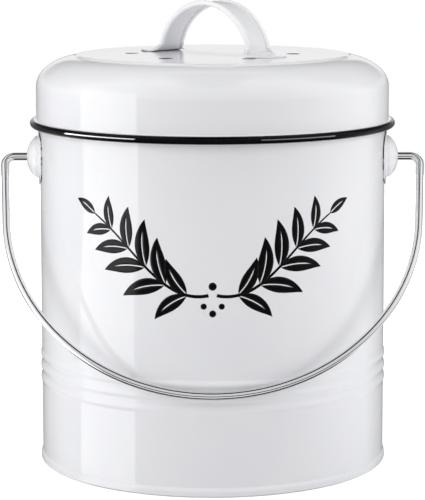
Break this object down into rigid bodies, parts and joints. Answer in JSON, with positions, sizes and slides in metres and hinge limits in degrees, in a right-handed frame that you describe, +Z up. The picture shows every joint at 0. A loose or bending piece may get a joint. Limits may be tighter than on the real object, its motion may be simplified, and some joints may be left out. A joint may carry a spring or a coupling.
{
  "type": "lidded kitchen scrap pail",
  "caption": "Round white steel pail for kitchen scraps with a black-rimmed lift-off lid, a strap handle, vent holes over a charcoal pad and a swinging wire bail.",
  "frame": {"origin": "middle of the base, on the plane the pail rests on", "axes": "+Z up along the pail's axis, -Y towards the front where the bail rests, +X to the right as seen from the front"},
  "size_m": [0.2208, 0.19, 0.2404],
  "materials": {
    "white_enamel": "gloss",
    "black_enamel": "gloss",
    "chrome_wire": "polished",
    "clip_steel": "satin",
    "tray_plastic": "matt, moulded",
    "charcoal_fibre": "carbon-filled fibre pad"
  },
  "bodies": {
    "pail": {"body_wall": "white_enamel", "base_pan": "white_enamel", "ear_left": "white_enamel", "ear_right": "white_enamel"},
    "bail": {"bail": "chrome_wire"},
    "lid": {"lid_shell": "white_enamel", "lid_rim": "black_enamel", "lid_handle": "white_enamel", "filter_clips": "clip_steel"},
    "filter": {"filter_tray": "tray_plastic", "charcoal_filter": "charcoal_fibre"}
  },
  "joints": [
    {"name": "bail_swing", "type": "hinge", "parent": "pail", "child": "bail", "pos_m": [0, 0, 0.1587], "axis": [-1, 0, 0], "range_deg": [0, 278]},
    {"name": "lid_lift", "type": "slide", "parent": "pail", "child": "lid", "axis": [0, 0, 1], "range_m": [0, 0.12]},
    {"name": "filter_twist", "type": "hinge", "parent": "lid", "child": "filter", "pos_m": [0, 0, 0.205], "axis": [0, 0, -1], "range_deg": [0, 30]}
  ]
}
